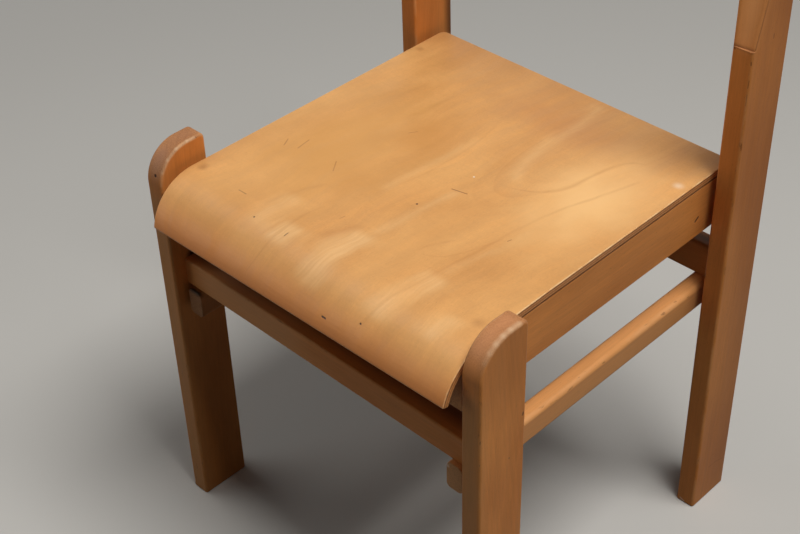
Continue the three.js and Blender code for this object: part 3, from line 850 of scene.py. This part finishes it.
def plywood(name, seed, marks=(), patches=(), figure=(), rear_shadow_and_roll_tint=0.0, tint=1.0,
            pith=(0.103, 0.0134, 0.195, 0.333)):
    """Bent beech plywood: a sliced face veneer, and bare edges that show the plies."""
    t = Tree(bpy.data.materials.new(name))
    dice = random.Random(seed)
    x, run, depth = t.split(t.attribute("grain")[1])
    warp = t.noise(t.join(x, 0.0, run), (5, 5, 8), 3)
    lean = t.affine(warp, 0.045, t.affine(run, 0.09, x))
    lean = t.affine(t.noise(t.join(x, 0.0, run), (24, 24, 15), 2), 0.012, lean)
    shifted = t.vector("ADD", t.join(lean, 0.0, run), tuple(dice.uniform(-4, 4) for _ in range(3)))
    ring, radius = growth(t, t.join(x, 0.0, run), pith, 0.0085, 0.012, 0.0)
    arch = t.times(t.step(radius, 0.07, 0.052), t.step(radius, 0.02, 0.045))
    ring = t.times(ring, t.affine(arch, 0.35, 0.12))
    band = t.noise(shifted, (30, 30, 4), 4, 0.55)
    stripe = t.noise(shifted, (105, 105, 8), 3, 0.5)
    tone = t.noise(shifted, (11, 11, 6.5), 4)
    streak = t.noise(shifted, (90, 90, 11), 4, 0.6)
    fibre = t.noise(shifted, (1000, 1000, 45), 2)
    ripple = t.noise(shifted, (42, 42, 210), 3, 0.6)
    fleck = flecks(t, shifted, (560, 560, 150))
    wear = t.attribute("wear")[2]

    # The veneer: tone, rings, flecks and fibre
    body = t.blend(t.step(tone, 0.28, 0.72), colour(224, 168, 104), colour(211, 152, 89))
    body = t.wash(body, ring, 0.3, colour(178, 116, 60))
    body = t.wash(body, t.step(radius, 0.052, 0.046), 0.1, colour(232, 188, 130))
    body = t.brighten(body, t.step(band, 0.25, 0.75, 0.96, 1.04))
    body = t.brighten(body, t.step(stripe, 0.3, 0.7, 0.98, 1.02))
    body = t.wash(body, fleck, 0.22, colour(150, 92, 48))
    light = t.affine(streak, 0.14, 0.93)
    light = t.times(light, t.affine(fibre, 0.1, 0.95))
    light = t.times(light, t.affine(ripple, 0.1, 0.95))
    grit = t.noise(shifted, (650, 650, 330), 2)
    light = t.times(light, t.affine(grit, 0.16, 0.92))
    body = t.brighten(body, t.times(light, tint))
    place = t.join(x, run, 0.0)
    cloud = t.noise(shifted, (30, 30, 22), 3)
    body = t.brighten(body, t.step(cloud, 0.3, 0.7, 0.97, 1.03))
    # Patches, a painted shadow along the rear edge, and the figure with its painted sheen
    for (px, py), (width, length), shade, strength in patches:
        away = t.vector("SUBTRACT", place, (px * MM, py * MM, 0.0))
        away = t.vector("LENGTH", t.vector("MULTIPLY", away, (1000 / width, 1000 / length, 0.0)))
        away = t.affine(cloud, 0.7, away)
        body = t.wash(body, t.step(away, 1.35, 0.35), strength, shade)
    # A painted shadow along the rear edge, and a redder tint towards the roll's lower end
    if rear_shadow_and_roll_tint:
        body = t.blend(t.step(run, 0.075, 0.0, 0.0, rear_shadow_and_roll_tint), body, colour(176, 112, 62))
        body = t.blend(t.step(run, 0.4, 0.455, 0.0, rear_shadow_and_roll_tint * 2.8), body, colour(232, 136, 66))
    wander = t.affine(t.noise(shifted, (80, 80, 18), 3), 3.2, -1.6)
    satin = t.step(t.noise(shifted, (430, 430, 18), 2), 0.34, 0.66, 0.62, 1.0)
    for points, radius, shade, strength in figure:
        mask = t.streak(x, run, [(a * MM, b * MM) for a, b in points], radius * MM, wander)
        body = t.blend(t.times(t.times(mask, strength), satin), body, shade)

    # The plies at the edges
    ply = t.times(depth, -1 / PLY)
    layer = t.math("FRACT", t.times(ply, 0.5))
    cross = t.times(t.step(layer, 0.46, 0.54), t.step(layer, 1.0, 0.95))
    ply_grain = t.noise(t.join(x, depth, run), (420, 420, 420), 3, 0.6)
    edge = t.blend(cross, colour(222, 154, 92), colour(192, 122, 70))
    edge = t.brighten(edge, t.affine(ply_grain, 0.7, 0.62))
    glue = t.step(t.math("PINGPONG", ply, 0.5), 0.09, 0.03)
    edge = t.wash(edge, glue, 0.25, colour(110, 62, 30))
    # lower darkens the bottom ply all round, a painted shadow line like the one in the gap over the
    # side rails; upper darkens a band under the face ply
    lower = t.step(depth, -0.0072, -0.0079)
    upper = t.times(t.step(depth, -0.0007, -0.0012), t.step(depth, -0.0022, -0.0016))
    rim = t.math("MAXIMUM", lower, upper)
    edge = t.wash(edge, rim, 0.5, colour(92, 50, 24))
    bare = t.times(t.step(depth, -0.0004, -0.0009), t.step(depth, -0.0078, -0.0074))
    body = t.blend(bare, body, edge)

    # Rubbed arrises, paler partly from wear and partly as a painted highlight
    rub = t.noise(t.join(x, depth, run), (70, 70, 70), 4, 0.65)
    rubbed_and_sheen = t.times(wear, t.step(rub, 0.35, 0.6))
    rubbed_and_sheen = t.times(rubbed_and_sheen, t.step(depth, -0.0016, -0.0008))
    body = t.wash(body, rubbed_and_sheen, 0.6, colour(246, 216, 166))
    height = t.affine(fibre, 0.3, t.times(fleck, -0.5))
    height = t.affine(grit, 0.4, height)
    height = t.affine(ripple, 1.2, height)
    height = t.affine(stripe, 1.2, height)
    height = t.affine(t.noise(shifted, (26, 26, 12), 2), 4.0, height)
    height = t.affine(t.times(bare, glue), -2.0, height)
    rough = t.affine(streak, 0.14, 0.29)
    rough = t.math("ADD", t.step(stripe, 0.36, 0.64, 0.0, 0.14), rough)
    rough = t.affine(ripple, 0.08, rough)
    rough = t.affine(bare, 0.2, rough)
    for start, end, radius, shade, strength in marks:
        start, end = [(across * MM, along * MM, 0) for across, along in (start, end)]
        mask = t.segment(place, start, end, radius * MM)
        mask = t.times(mask, strength)
        body = t.blend(mask, body, shade)
        height = t.affine(mask, -3.0, height)
    t.put("Specular IOR Level", 0.3)
    t.put("Coat Weight", 0.15)
    t.put("Coat Roughness", 0.4)
    return t.finish(body, rough, height, WOOD_RELIEF)


def steel(name):
    """Bright zinc plating, a little dulled."""
    t = Tree(bpy.data.materials.new(name))
    place = t.node("ShaderNodeTexCoord").outputs["Object"]
    cloud = t.noise(place, (500, 500, 500), 4, 0.6)
    scratch = t.noise(place, (2500, 2500, 300), 2)
    body = t.blend(t.step(cloud, 0.3, 0.7), (0.66, 0.65, 0.61, 1), (0.5, 0.48, 0.43, 1))
    t.put("Metallic", 1.0)
    rough = t.affine(cloud, 0.25, 0.22)
    return t.finish(body, rough, t.affine(scratch, 0.4, cloud), STEEL_RELIEF)


# Marks on the seat: from, to, radius, colour, strength. Places on it are (across from its middle,
# forward from its rear edge along its face).
SEAT_MARKS = [
    ((-152.9, 281), (-158.1, 270.8), 0.8, BROWN, 0.4),
    ((-138.3, 275.2), (-140.9, 257.6), 0.9, BROWN, 0.35),
    ((-82.3, 279.6), (-92, 266), 0.8, BROWN, 0.35),
    ((-126.2, 363.9), (-116.1, 363.7), 0.9, DARK, 0.35),
    ((25.2, 223.1), (41.6, 219.5), 0.9, BROWN, 0.6),
    ((45.7, 431.7), (49.6, 431.9), 1.2, DARK, 1.0),
    ((-40.5, 382.8), (-40.1, 377.9), 0.6, DARK, 0.7),
    ((17.5, 263.9), (17.5, 263.9), 1.4, DARK, 1.0),
    ((88, 417.9), (88, 417.9), 1.3, DARK, 1.0),
    ((-83.8, 382), (-83.8, 382), 1.2, DARK, 0.9),
    ((27.2, 193.7), (27.2, 193.7), 1.3, PALE, 0.9),
    ((-75, 180), (-70, 172), 0.5, BROWN, 0.4),
    ((120, 250), (121, 246), 0.7, BROWN, 0.5),
    ((-20, 330), (-19, 324), 0.5, BROWN, 0.4),
]
# Darker or paler patches: middle, half width and half length, colour, strength
SEAT_PATCHES = [
    # Painted shade: this broad patch darkens the seat's left side
    ((-105, 255), (120, 170), colour(207, 150, 82), 0.75),
    ((-60, 171), (60, 70), colour(198, 138, 74), 0.55),
    ((182.5, 72.5), (9, 8), PALE, 0.38),
    ((-185, 49), (8, 7), BROWN, 0.35),
    ((-183, 362), (8, 9), BROWN, 0.4),
    ((179, 354), (10, 9), BROWN, 0.25),
    ((40, 60), (150, 50), RUDDY, 0.35),
    # Painted light: this broad patch makes the seat's right side paler
    ((135, 150), (75, 140), colour(240, 192, 130), 0.9),
    ((60, 290), (30, 120), colour(204, 146, 84), 0.4),
]
# Streaks of the veneer's figure: points along them, half width, colour, strength. The pale ones are
# lighter figure with a painted sheen on them, strongest on the roll
SEAT_FIGURE = [
    (((10, 417), (13, 389), (14, 355), (19, 328)), 26, PALE_FIGURE_AND_SHEEN, 0.44),
    (((19, 328), (25, 294), (30, 244), (34, 218)), 9, PALE_FIGURE_AND_SHEEN, 0.2),
    (((97, 409), (100, 386), (106, 363), (110, 328)), 24, PALE_FIGURE_AND_SHEEN, 0.37),
    (((110, 328), (115, 294), (123, 262)), 9, PALE_FIGURE_AND_SHEEN, 0.15),
    (((-47, 396), (-42, 380), (-36, 363)), 28, PALE_FIGURE_AND_SHEEN, 0.42),
    (((-78, 390), (-82, 373), (-80, 351), (-75, 331)), 28, PALE_FIGURE_AND_SHEEN, 0.28),
    (((60, 175), (48, 142), (42, 104), (44, 51), (37, 6)), 13, PALE_FIGURE_AND_SHEEN, 0.22),
    (((-25, 271), (-20, 220), (-16, 188), (-15, 138)), 9, PALE_FIGURE_AND_SHEEN, 0.16),
    (((150, 399), (155, 378), (162, 360)), 22, PALE_FIGURE_AND_SHEEN, 0.35),
    (((88, 421), (93, 402), (96, 383), (101, 358), (104, 323), (110, 277), (115, 227),
      (124, 180), (138, 136), (151, 92)), 3.0, UMBER, 0.24),
    (((-58, 435), (-51, 412), (-49, 394), (-48, 375), (-49, 347), (-45, 326)), 2.4, UMBER, 0.24),
    (((54, 186), (75, 180), (95, 166), (107, 144), (111, 118), (116, 92), (125, 72),
      (142, 63)), 4.5, UMBER, 0.3),
    (((-14, 362), (-4, 338), (3, 323)), 9, UMBER, 0.3),
    (((67, 318), (72, 302), (86, 278)), 4, UMBER, 0.25),
    (((71, 319), (90, 309), (104, 284), (113, 253)), 3.2, UMBER, 0.22),
    (((-19, 257), (-13, 228), (-11, 201), (-11, 157), (-20, 102)), 2.6, UMBER, 0.18),
    (((-91, 365), (-82, 324), (-68, 297)), 6, UMBER, 0.18),
    (((64, 115), (64, 83), (78, 53)), 12, UMBER, 0.18),
]


def shifted_mark(start, end, radius, shade, strength):
    """A mark's ends, from the chair's own measure to the row frame."""
    move = Vector((0, DEPTH_SHIFT, 0))
    return tuple(Vector(start) + move), tuple(Vector(end) + move), radius, shade, strength


def painted_arris_sheen(x, lowest, rear, radius, strength):
    """A painted sheen along an arris of a front leg's rounded top, stronger upwards."""
    inset = 1.3
    reach = LEG_TOP_RADIUS - inset
    centre = FRONT_LEG_HEIGHT - LEG_TOP_RADIUS
    turns = [math.radians(lowest + (90 - lowest) * k / 4) for k in range(5)]
    spots = [(x, LEG_TOP_RADIUS - reach * math.cos(a), centre + reach * math.sin(a)) for a in turns]
    spots.append((x, rear, FRONT_LEG_HEIGHT - inset))
    fades = (0.35, 0.75, 1, 1, 1)
    return [(start, end, radius, colour(244, 214, 176), strength * fade)
            for start, end, fade in zip(spots, spots[1:], fades)]


def seat_gap(x):
    """A painted shadow line, cut in a little, where the seat lies on a side rail."""
    return ((x, 25, 441.4), (x, 400, 441.4), 1.2, DARK, 0.8)


# Marks on the beech pieces: from, to, radius, colour, strength. Besides dents, scratches and wear,
# some paint shade, shadow or sheen
MARKS = {
    "front_leg_left": [
        ((-202.9, 21.2, 93.7), (-202.9, 21.4, 91), 1.5, DARK, 0.5),
        # A painted sheen along the inside arris of the rounded top
        *painted_arris_sheen(-202.9, 5, 48, 2.8, 0.36),
        # Painted shade over the lower part of the leg
        ((-201.6, 30, 200), (-201.6, 30, 0), 90, colour(96, 56, 28), 0.35),
        # A painted shadow, near black, on the inside face beside the front rail's top
        ((-201.6, 25, 341), (-201.6, 56, 341), 9, colour(18, 10, 6), 0.95),
        ((-213, 0, 410), (-213, 0, 0), 22, colour(165, 127, 82), 0.4),
        # Greyer patches on the rounded top: worn end grain with a painted sheen
        ((-213, 2, 446), (-213, 13, 463), 15, colour(166, 130, 112), 0.35),
        ((-213, 13, 463), (-213, 46, 473.6), 15, colour(156, 112, 88), 0.35),
        ((-210.8, 0, 447), (-210.8, 3.5, 445), 2.3, DARK, 1.0),
    ],
    "front_leg_right": [
        ((224.2, 56.2, 368), (224.2, 56, 366), 1.6, DARK, 0.6),
        ((224.2, 38.9, 324.6), (224.2, 38.9, 324), 1.0, DARK, 0.5),
        # A painted sheen along the outer and inner arrises of the rounded top
        *painted_arris_sheen(221.4, 34, 50, 4.2, 0.55),
        *painted_arris_sheen(204, 30, 50, 1.8, 0.45),
        # A painted highlight where the rounded top turns down into the front face
        ((212, 3, 450), (212, 0, 438), 15, colour(226, 150, 92), 0.55),
        ((212, 0, 405), (212, 0, 0), 22, colour(165, 127, 82), 0.5),
        # A paler patch on the rounded top: worn end grain with a painted sheen
        ((212, 13, 463), (212, 46, 473.6), 15, colour(220, 156, 112), 0.5),
        # Painted shade over the upper outer side
        ((224.2, 30, 470), (224.2, 30, 430), 70, BROWN, 0.3),
    ],
    "side_rail_right": [
        ((194.3, 349, 402.8), (194.3, 353.2, 406), 1.5, DARK, 0.95),
        seat_gap(RAIL_OUTER),
    ],
    "side_rail_left": [seat_gap(-RAIL_OUTER)],
    "stretcher_right": [
        ((190.5, 333, 306.5), (190.8, 336, 306.5), 1.7, DARK, 0.6),
        # A painted highlight on the front end's upper corner
        ((174.8, 10.2, 306), (176.5, 10, 303), 2.8, PALE, 0.6),
    ],
    # A painted shadow, near black, on the top of the front end under the rail
    "stretcher_left": [((-195, 11, 308.5), (-173, 11, 308.5), 7, colour(20, 10, 5), 1.0)],
    "rear_leg_right": [
        ((224.2, 395.1, 604), (224.2, 395.3, 600), 1.0, DARK, 0.5),
        ((222.8, 364.3, 587), (223, 364.3, 584), 0.8, DARK, 0.5),
        ((223.2, 364.3, 568), (223, 364.2, 560), 0.6, DARK, 0.45),
        ((223, 364.4, 553), (223.2, 364.4, 541), 0.5, DARK, 0.4),
        # Painted shade on the flat's shoulder, so it shows no lighter than the flat
        ((203, 365, 597.6), (222, 365, 597.6), 3.8, colour(104, 60, 32), 0.9),
        ((224, 367, 599), (224, 381.8, 661), 0.9, DARK, 0.45),
        # Painted shade on the outer side, darker towards its back and its top
        ((224.2, 425, 30), (224.2, 425, 780), 75, colour(146, 84, 40), 0.5),
        ((224.2, 410, 640), (224.2, 410, 780), 60, colour(138, 78, 36), 0.35),
        ((212, 366, 606), (212, 382, 690), 18, colour(240, 172, 114), 0.55),
        ((204.2, 364.2, 596), (204.6, 364.2, 594.5), 1.3, DARK, 0.7),
        ((224.2, 393.2, 47.4), (224.2, 406, 47), 0.7, BROWN, 0.6),
        ((224.2, 406, 47), (224.2, 419.8, 42.3), 0.7, BROWN, 0.6),
        ((212, 368.8, 2), (207, 368.8, 4), 1.6, PALE, 0.7),
    ],
    # A painted shadow on the rail's top under the seat's right side
    "rear_cross_rail": [((120, 398, 350), (210, 398, 350), 16, colour(44, 24, 12), 0.8)],
    "rear_leg_left": [
        # Painted shade on the flat's shoulder, so it shows no lighter than the flat
        ((-203, 365, 597.6), (-222, 365, 597.6), 3.8, colour(104, 60, 32), 0.9),
        ((-201.6, 421, 440), (-201.6, 414, 660), 13, colour(88, 50, 24), 0.85),
    ],
    "front_cross_rail": [
        ((-158, 15.5, 308.5), (-154.5, 15.5, 308.5), 1.6, DARK, 0.8),
        ((-160, 15.5, 328), (-60, 15.5, 328), 60, colour(220, 168, 118), 0.4),
        ((80, 15.5, 328), (200, 15.5, 328), 60, colour(104, 60, 30), 0.15),
        # Painted shade over the top under the seat's roll, with a painted shadow, near black, at
        # the left end
        ((-200, 40, 340), (200, 40, 340), 23, colour(74, 38, 24), 0.85),
        ((-200, 40, 340), (-172, 40, 340), 24, colour(18, 10, 6), 0.8),
    ],
}
GRAIN_AXES = {
    "leg": "Z", "cross_rail": "X", "side_rail": "Y", "stretcher": "Y", "pin": "Z", "dowel": "X",
}
# How bright single pieces are: the left stretcher, the rear cross rail and the left front leg are
# darker as painted shade under the seat
TINTS = {
    "rear_cross_rail": 0.78, "stretcher_left": 0.56, "rear_leg_right": 0.93, "front_leg_left": 0.97,
}
# How far the colour of other pieces goes to pale wood; on the right stretcher that paleness is a
# painted highlight
PALE_WOOD_AND_SHEEN = {"dowel": 0.55, "pin": 0.55, "stretcher_right": 0.3}


def dress(node_name, piece, seed):
    if node_name == "seat_panel":
        finish = plywood(
            "plywood_seat", seed, SEAT_MARKS, SEAT_PATCHES, SEAT_FIGURE, rear_shadow_and_roll_tint=0.25, tint=0.96)
    elif node_name == "backrest_panel":
        finish = plywood("plywood_backrest", seed, pith=(0.12, 0.04, 0.0, 0.05))
    elif "screw" in node_name:
        finish = steel("steel_" + node_name)
    else:
        axis = next(a for kind, a in GRAIN_AXES.items() if kind in node_name)
        marks = [shifted_mark(*mark) for mark in MARKS.get(node_name, ())]
        pale = next((share for kind, share in PALE_WOOD_AND_SHEEN.items() if kind in node_name), 0.0)
        finish = beech("beech_" + node_name, axis, seed, TINTS.get(node_name, 1.0), marks, pale)
    piece.data.materials.clear()
    piece.data.materials.append(finish)


for seed, (node_name, node) in enumerate(sorted(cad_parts.items())):
    dress(node_name, pieces.get(node_name, node), seed + 1)

# The floor, the light and the background


BACKGROUND = (0.72, 0.715, 0.7, 1)
FLOOR_HALF_WIDTH = 8.0
FLOOR_LEVEL = -0.0004
# Where the floor starts to run out into the background, and where it has
FLOOR_FADE = (1.1, 4.5)
LAMP_TINT = (1.0, 0.97, 0.92)


def plain_floor():
    """A pale floor that runs out into the background, throws little light back up, and is
    clear from below."""
    t = Tree(bpy.data.materials.new("floor"))
    seen = t.seen()
    tint = t.blend(seen, (0.09, 0.087, 0.083, 1), (0.58, 0.575, 0.56, 1))
    t.put("Base Color", tint)
    t.put("Roughness", 0.9)
    t.put("Specular IOR Level", 0.1)
    place = t.node("ShaderNodeTexCoord").outputs["Object"]
    far = t.times(t.step(t.vector("LENGTH", place), *FLOOR_FADE), seen)
    paper = t.node("ShaderNodeEmission", {"Color": BACKGROUND, "Strength": 1.0}).outputs[0]
    surface = t.mix(far, t.shader.outputs[0], paper)
    clear = t.node("ShaderNodeBsdfTransparent").outputs[0]
    below = t.node("ShaderNodeNewGeometry").outputs["Backfacing"]
    t.feed(t.output.inputs["Surface"], t.mix(below, surface, clear))
    half = FLOOR_HALF_WIDTH
    corners = ((-half, -half), (half, -half), (half, half), (-half, half))
    mesh = bpy.data.meshes.new("floor")
    mesh.from_pydata([(x, y, FLOOR_LEVEL) for x, y in corners], [], [(0, 1, 2, 3)])
    mesh.materials.append(t.owner)
    floor = add_object("floor", mesh)


def plain_world():
    """A faint light from all round, which shows as the background."""
    t = Tree(bpy.data.worlds.new("world"))
    bpy.context.scene.world = t.owner
    t.put("Color", (1.0, 0.985, 0.96, 1))
    t.put("Strength", 0.05)
    shown = t.node("ShaderNodeBackground", {"Color": BACKGROUND}).outputs[0]
    t.feed(t.output.inputs["Surface"], t.mix(t.seen(), t.shader.outputs[0], shown))


def softbox(name, place, aim, width, height, power):
    lamp = bpy.data.lights.new(name, "AREA")
    lamp.shape = "RECTANGLE"
    lamp.size = width
    lamp.size_y = height
    lamp.energy = power
    lamp.color = LAMP_TINT
    box = add_object(name, lamp)
    box.location = place
    box.rotation_euler = (Vector(aim) - box.location).to_track_quat("-Z", "Y").to_euler()


plain_floor()
plain_world()
softbox("overhead", (1.15, 0.12, 3.1), (0, 0, 0.4), 1.5, 1.3, 83)
softbox("front", (-1.6, -2.0, 0.9), (0, 0, 0.4), 0.9, 0.9, 4)
softbox("left", (-1.27, -0.5, 2.25), (0, -0.15, 0.44), 1.0, 1.0, 8)

bpy.context.scene.view_settings.view_transform = "Standard"
